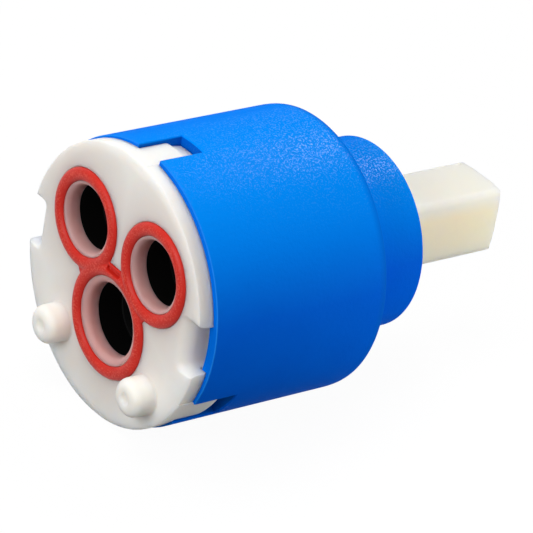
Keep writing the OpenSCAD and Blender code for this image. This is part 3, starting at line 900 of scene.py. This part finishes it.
class CARTRIDGE_OT_base(bpy.types.Operator):
    """Model the flanged base with its ports, grooves, notches, tabs and locating pins"""

    bl_idname = "cartridge.base"
    bl_label = "Base"

    def execute(self, context):
        size = context.scene.cartridge_sizes
        edge = size.flange_round / MM
        base = turn_outline("base_moulded", [
            *self.flange_front(edge, FLANGE_R), (FRONT_X, FLANGE_R)], at=FLANGE_AT, sides=200)
        work(base, turn_outline("spigot", [
            (SPIGOT_X, SPIGOT_R), (RIM_X - RIM_BEVEL, SPIGOT_R), (RIM_X, SPIGOT_R - RIM_BEVEL),
            (RIM_X, RIM_R), (FLOOR_X, RIM_R)]), "UNION")
        for turn, width in SLOTS:
            work(base, self.tab(width - 2 * TAB_GAP, turn, edge), "UNION")
        for at in PINS:
            work(base, self.pin(at, size), "UNION")
        for side in (-1, 1):
            low, high = sorted((side * KEY_IN_R, side * KEY_OUT_R))
            corners = (FLOOR_X - ROOT, low, -KEY_HALF_W), (RIM_X, high, KEY_HALF_W)
            work(base, add_block("key", *corners), "UNION")
        work(base, self.groove())
        work(base, self.pocket())
        for at, radius, collar in PORTS:
            work(base, self.port(at, radius, collar - MOUTH_IN, size.port_round / MM))
        for side, soft in ((-1, size.notch_round), (1, size.notch_round_far)):
            work(base, self.notch(soft / MM, side))
        smooth_off(base)
        place(base, "base")
        return {"FINISHED"}

    def flange_front(self, width, radius):
        """Soft front edge of the flange, a quarter of a flat ellipse of the given width."""
        depth = FLANGE_DEPTH * width
        return [(depth * (1 - math.sin(a)), radius - width + width * math.cos(a))
                for a in reversed(sweep(math.pi / 2))]

    def tab(self, width, turn, edge):
        """Snap tab, flush with the flange, with its rounded far edge and the low foot behind it."""
        way = math.radians(turn)
        radius = FLANGE_R + FLANGE_AT[0] * math.cos(way) + FLANGE_AT[1] * math.sin(way)
        outer_front = self.flange_front(edge, radius)[3:]
        corner = (TAB_END_X - TAB_CORNER_R, radius - TAB_CORNER_R)
        tab = turn_outline("tab", [
            (ROOT, TAB_IN_R), *outer_front, *arc(corner, TAB_CORNER_R, 90, 0, 8),
            (TAB_END_X, TAB_IN_R)], loop=True)
        centre_x, half, last_x = TAB_END_X - TAB_BULGE_R, width / 2, RIM_X + OVER
        middle = (centre_x, 0, (CUT_IN + CUT_OUT) / 2)
        keep = add_bar("keep", TAB_BULGE_R, CUT_OUT - CUT_IN, middle, sides=96)
        root = (-OVER, -half - OVER, CUT_IN - OVER), (centre_x + OVER, half + OVER, CUT_OUT + OVER)
        work(keep, add_block("root", *root), "UNION")
        work(keep, add_block("sides", (-ROOT, -half, CUT_IN), (last_x, half, CUT_OUT)), "INTERSECT")
        work(tab, keep, "INTERSECT")
        end_x = SLOT_END_X - TAB_GAP
        foot = turn_outline("foot", [
            (FOOT_X, FOOT_IN_R), (FOOT_X, FOOT_R), (FOOT_STEP_X, FOOT_R), (end_x, FOOT_END_R),
            (end_x, FOOT_IN_R)], loop=True)
        sides = (SPIGOT_X, PLAY - half, CUT_IN), (last_x, half, CUT_OUT)
        work(foot, add_block("sides", *sides), "INTERSECT")
        work(tab, foot, "UNION")
        return turn_round(tab, turn - 90)

    def pin(self, at, size):
        """Locating pin with a filleted foot, a round edge and a dimple in its end."""
        foot, edge = size.pin_foot / MM, size.pin_round / MM
        return turn_outline("pin", [
            (PIN_ROOT, PIN_R + foot), *arc((PIN_SINK - foot, PIN_R + foot), foot, 0, -90, 5),
            *arc((edge - PIN_LEN, PIN_R - edge), edge, 90, 180, 6),
            *((depth - PIN_LEN, radius) for depth, radius in DIMPLE)], at=at, sides=96)

    def port(self, at, radius, mouth, depth):
        """Tool for one port, whose mouth curves in from the seal to the bore."""
        curve = [(depth * (1 - math.cos(a)), mouth - (mouth - radius) * math.sin(a))
                 for a in sweep(math.pi / 2)]
        outline = [(-OVER, mouth), *curve, (POCKET_X + OVER, radius)]
        return turn_outline("port_tool", outline, at=at, sides=128)

    def groove(self):
        """Tool for the face seal's groove, which leaves a collar round each port."""
        tool = add_disc("groove_tool", INLETS[0], PORTS[0][2] + LIP_W + PLAY, -OVER, GROOVE_X)
        for at, _, collar in PORTS[1:]:
            work(tool, add_disc("ring", at, collar + LIP_W + PLAY, -OVER, GROOVE_X), "UNION")
        half, reach = BAR_W / 2 + PLAY, BAR_LEN / 2 + PLAY
        corners = (-OVER, -reach, BAR_Z - half), (GROOVE_X, reach, BAR_Z + half)
        work(tool, add_block("bar", *corners), "UNION")
        for at, _, collar in PORTS:
            work(tool, add_disc("collar", at, collar - PLAY, -2 * OVER, GROOVE_X + OVER))
        return tool

    def pocket(self):
        """Tool for the inner seal's pocket behind the ports."""
        top_x = FLOOR_X + OVER
        tool = add_disc("pocket_tool", INLETS[0], PORTS[0][1] + POCKET_W, POCKET_X, top_x)
        for at, radius, _ in PORTS[1:]:
            work(tool, add_disc("ring", at, radius + POCKET_W, POCKET_X, top_x), "UNION")
        for start, end in ((INLETS[0], OUTLET), (INLETS[1], OUTLET), INLETS):
            work(tool, add_link("link", start, end, POCKET_W, POCKET_X, top_x), "UNION")
        return tool

    def notch(self, edge, side):
        """Tool for one side notch: filleted along its floor, rounded where it meets the face."""
        half, outer = NOTCH_W / 2, FLANGE_R + OVER
        floor = math.sqrt(NOTCH_R ** 2 - half ** 2 / 3)
        tool = add_block("notch_tool", (edge, floor, -half), (NOTCH_X, outer, half))
        pick_edges(tool, lambda start, end: lengthwise(start, end) and start.y < floor + PLAY)
        bpy.ops.mesh.bevel(offset=NOTCH_FILLET * MM, segments=5, affect="EDGES")
        pick_faces(tool, (-1, 0, 0))
        profile = arc((edge, edge), edge, 270, 180, 5)
        steps, depth = [], outer - floor
        for (x, drop), (next_x, next_drop) in zip(profile, profile[1:]):
            deeper = (depth + next_drop) / (depth + drop)
            wider = (half + NOTCH_SPREAD * next_drop) / (half + NOTCH_SPREAD * drop)
            steps.append(((next_x - x, 0, 0), (1, deeper, wider), (next_x, outer, 0)))
        steps.append(((-OVER, 0, 0), (1, 1, 1), (0, 0, 0)))
        flare(steps)
        set_down()
        turn_round(tool, 0 if side > 0 else 180)
        tool.location.y = FLANGE_AT[0] * MM
        return settle(tool.name)


class CARTRIDGE_OT_base_seal(bpy.types.Operator):
    """Model the red face seal: three round lips that run into each other, and a sunk bar"""

    bl_idname = "cartridge.base_seal"
    bl_label = "Base seal"

    def execute(self, context):
        size = context.scene.cartridge_sizes
        height, half, reach = size.lip_height / MM, BAR_W / 2, BAR_LEN / 2
        seal = self.lip("base_seal_moulded", PORTS[0], height)
        for port in PORTS[1:]:
            work(seal, self.lip("lip", port, height), "UNION")
        for side in (-1, 1):
            at = (side * WEB_AT[0], WEB_AT[1])
            work(seal, add_disc("web", at, WEB_R, -WEB_PROUD, GROOVE_X), "UNION")
        for at, _, collar in PORTS:
            work(seal, add_disc("hole", at, collar, -OVER, GROOVE_X + OVER))
        corners = (-BAR_PROUD, -reach, BAR_Z - half), (GROOVE_X, reach, BAR_Z + half)
        work(seal, add_block("bar", *corners), "UNION")
        work(seal, self.trough(size.bar_sink / MM))
        remelt(seal, voxel=0.1, rounds=10)
        place(seal, "base_seal")
        return {"FINISHED"}

    def lip(self, name, port, height):
        """One ring of the seal, half an ellipse in section above the face."""
        at, _, collar = port
        half = LIP_W / 2
        crown = [(LIP_FOOT - (height + LIP_FOOT) * math.sin(a), collar + half - half * math.cos(a))
                 for a in sweep(math.pi, 12)]
        outline = [(GROOVE_X, collar), *crown, (GROOVE_X, collar + LIP_W)]
        return turn_outline(name, outline, at=at, loop=True)

    def trough(self, sink):
        """Tool for the shallow groove in the bar, with round ends."""
        low, high = TROUGH_Z - TROUGH_R, TROUGH_Z + TROUGH_R
        tool = add_block("trough", (-OVER, -TROUGH_HALF_LEN, low), (sink, TROUGH_HALF_LEN, high))
        for side in (-1, 1):
            at = (side * TROUGH_HALF_LEN, TROUGH_Z)
            work(tool, add_disc("end", at, TROUGH_R, -OVER - PLAY, sink), "UNION")
        return tool


class CARTRIDGE_OT_lever(bpy.types.Operator):
    """Model the lever: ball, arm, boss and the square stem with its domed end"""

    bl_idname = "cartridge.lever"
    bl_label = "Lever"

    def execute(self, context):
        edge = context.scene.cartridge_sizes.stem_round / MM
        half_w, half_h = STEM_W / 2, STEM_H / 2
        corners = (PIVOT_X + STEM_ROOT, -half_w, -half_h), (STEM_END_X + OVER, half_w, half_h)
        lever = add_block("lever_moulded", *corners)
        pick_edges(lever, lengthwise)
        bpy.ops.mesh.bevel(offset=edge * MM, segments=7, affect="EDGES")
        work(lever, add_ball("dome", STEM_END_X - DOME_R, DOME_R, 256), "INTERSECT")
        boss = add_block("boss", (PIVOT_X - BOSS_HALF_LEN, -half_w, -BOSS_HALF_H),
                         (PIVOT_X + BOSS_HALF_LEN, half_w, BOSS_HALF_H))
        pick_faces(boss, (-1, 0, 0))
        flare([((-BOSS_TAPER, 0, 0), (1, 1, ARM_R / BOSS_HALF_H), (0, 0, 0))])
        work(lever, boss, "UNION")
        work(lever, add_disc("arm", (0, 0), ARM_R, BALL_X, PIVOT_X, sides=48), "UNION")
        work(lever, add_ball("ball", BALL_X, BALL_R, 48), "UNION")
        work(lever, add_bar("pin_hole", HINGE_R, 2 * STEM_W, (PIVOT_X, 0, 0), ALONG_Y, sides=64))
        remelt(lever, voxel=0.2, rounds=3)
        place(lever, "lever")
        return {"FINISHED"}


class CARTRIDGE_OT_finishes(bpy.types.Operator):
    """Give every node of the frame its own procedural finish"""

    bl_idname = "cartridge.finishes"
    bl_label = "Finishes"

    def execute(self, context):
        made = {}
        for name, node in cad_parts.items():
            make = FINISHES[name]
            if make not in made:
                made[make] = make()
            node.data.materials.clear()
            node.data.materials.append(made[make])
        return {"FINISHED"}


# Place, aim, power in watts, side in metres, and whether it shows in reflections
LAMPS = {
    "key": ((0.48, 0.2, 0.62), (0.02, 0, 0), 2.3, 0.36, True),
    "top": ((-0.14, 0.1, 0.68), (0.02, 0, 0), 2.05, 0.4, False),
    "front": ((-0.24, -0.06, 0.12), (0, 0, 0), 0.55, 0.15, True),
    "side": ((0.1, -0.75, 0.35), (0.02, 0, 0), 0.85, 0.5, True),
    "stem": ((0.09, -0.06, -0.01), (0.053, 0, 0), 0.04, 0.05, True),
    "back": ((0.05, 0.7, 0.3), (0.02, 0, 0), 1.2, 0.5, True),
}


def add_lamp(name, at, aim, power, side, mirrored):
    """A square lamp that points from one place to another."""
    data = bpy.data.lights.new(name, "AREA")
    data.energy = power
    data.size = side
    lamp = bpy.data.objects.new(name, data)
    bpy.context.scene.collection.objects.link(lamp)
    lamp.location = at
    lamp.rotation_euler = (Vector(aim) - Vector(at)).to_track_quat("-Z", "Y").to_euler()
    lamp.visible_camera = False
    lamp.visible_glossy = mirrored


def floor_white():
    """Pale floor that cameras and mirrors see white, with the object's soft shadow."""
    paint = Paint("floor_white")
    seen = paint.seen()
    dim, white = (0.15, 0.15, 0.15, 1), (1, 1, 1, 1)
    paint.finish(Base_Color=paint.mix(seen, dim, white), Roughness=0.9, Specular_IOR_Level=0.1)
    lit = Signal(paint, paint.shader.outputs[0])
    glow = paint.node("ShaderNodeEmission", {}, Color=white, Strength=1.0)
    blend = paint.node("ShaderNodeMixShader", {}, seen * 0.96, lit, glow)
    paint.put(paint.tree.nodes["Material Output"].inputs["Surface"], blend)
    return paint.material


class CARTRIDGE_OT_stage(bpy.types.Operator):
    """Set the camera, the pale floor, the lamps and the world"""

    bl_idname = "cartridge.stage"
    bl_label = "Stage"

    def execute(self, context):
        stage = context.scene.cartridge_stage
        self.camera(context, stage)
        self.floor(stage)
        for name, settings in LAMPS.items():
            add_lamp(name, *settings)
        self.world(context, stage)
        context.scene.view_settings.view_transform = "Standard"
        return {"FINISHED"}

    def camera(self, context, stage):
        """Camera at the photograph's viewing angle."""
        data = bpy.data.cameras.new("camera")
        data.lens = stage.lens
        data.sensor_width = 36
        data.clip_start = 0.01
        data.clip_end = 50
        camera = bpy.data.objects.new("camera", data)
        context.scene.collection.objects.link(camera)
        right = Vector(stage.camera_right).normalized()
        up = Vector(stage.camera_up)
        up = (up - right * up.dot(right)).normalized()
        turn = Matrix((right, up, right.cross(up))).transposed()
        camera.matrix_world = Matrix.Translation(stage.camera_at) @ turn.to_4x4()
        context.scene.camera = camera

    def floor(self, stage):
        """Floor right under the barrel."""
        set_down()
        bpy.ops.mesh.primitive_plane_add(size=stage.floor_size, location=(0, 0, GROUND_Z))
        floor = bpy.context.object
        floor.name = "floor"
        floor.data.materials.append(floor_white())

    def world(self, context, stage):
        """Even light from all sides, which cameras and mirrors see white."""
        world = bpy.data.worlds.new("studio")
        context.scene.world = world
        world.use_nodes = True
        nodes = Nodes(world.node_tree)
        background = world.node_tree.nodes["Background"]
        nodes.put(background.inputs["Color"], (1, 1, 1, 1))
        nodes.put(background.inputs["Strength"], nodes.seen(least=stage.sky))


class CARTRIDGE_PT_panel(bpy.types.Panel):
    """The steps that make the cartridge, in order, and what they can be given"""

    bl_idname = "CARTRIDGE_PT_panel"
    bl_label = "Faucet cartridge"
    bl_space_type = "VIEW_3D"
    bl_region_type = "UI"
    bl_category = "Cartridge"

    def draw(self, context):
        for step in STEPS:
            self.layout.operator(step.bl_idname)
        for name, group in GROUPS.items():
            for key in group.__annotations__:
                self.layout.prop(getattr(context.scene, name), key)


STEPS = (
    CARTRIDGE_OT_stage, CARTRIDGE_OT_finishes, CARTRIDGE_OT_housing, CARTRIDGE_OT_base,
    CARTRIDGE_OT_base_seal, CARTRIDGE_OT_lever,
)
GROUPS = {
    "cartridge_sizes": CartridgeSizes, "cartridge_colours": CartridgeColours,
    "cartridge_stage": CartridgeStage,
}


def register():
    """Adds the property groups, the operators and the panel."""
    for name, group in GROUPS.items():
        bpy.utils.register_class(group)
        setattr(bpy.types.Scene, name, PointerProperty(type=group))
    for step in STEPS:
        bpy.utils.register_class(step)
    bpy.utils.register_class(CARTRIDGE_PT_panel)


def unregister():
    """Takes them away again."""
    bpy.utils.unregister_class(CARTRIDGE_PT_panel)
    for step in reversed(STEPS):
        bpy.utils.unregister_class(step)
    for name, group in GROUPS.items():
        delattr(bpy.types.Scene, name)
        bpy.utils.unregister_class(group)


def main():
    register()
    bpy.ops.cartridge.stage()
    bpy.ops.cartridge.finishes()
    bpy.ops.cartridge.housing()
    bpy.ops.cartridge.base()
    bpy.ops.cartridge.base_seal()
    bpy.ops.cartridge.lever()


if __name__ == "__main__":
    main()
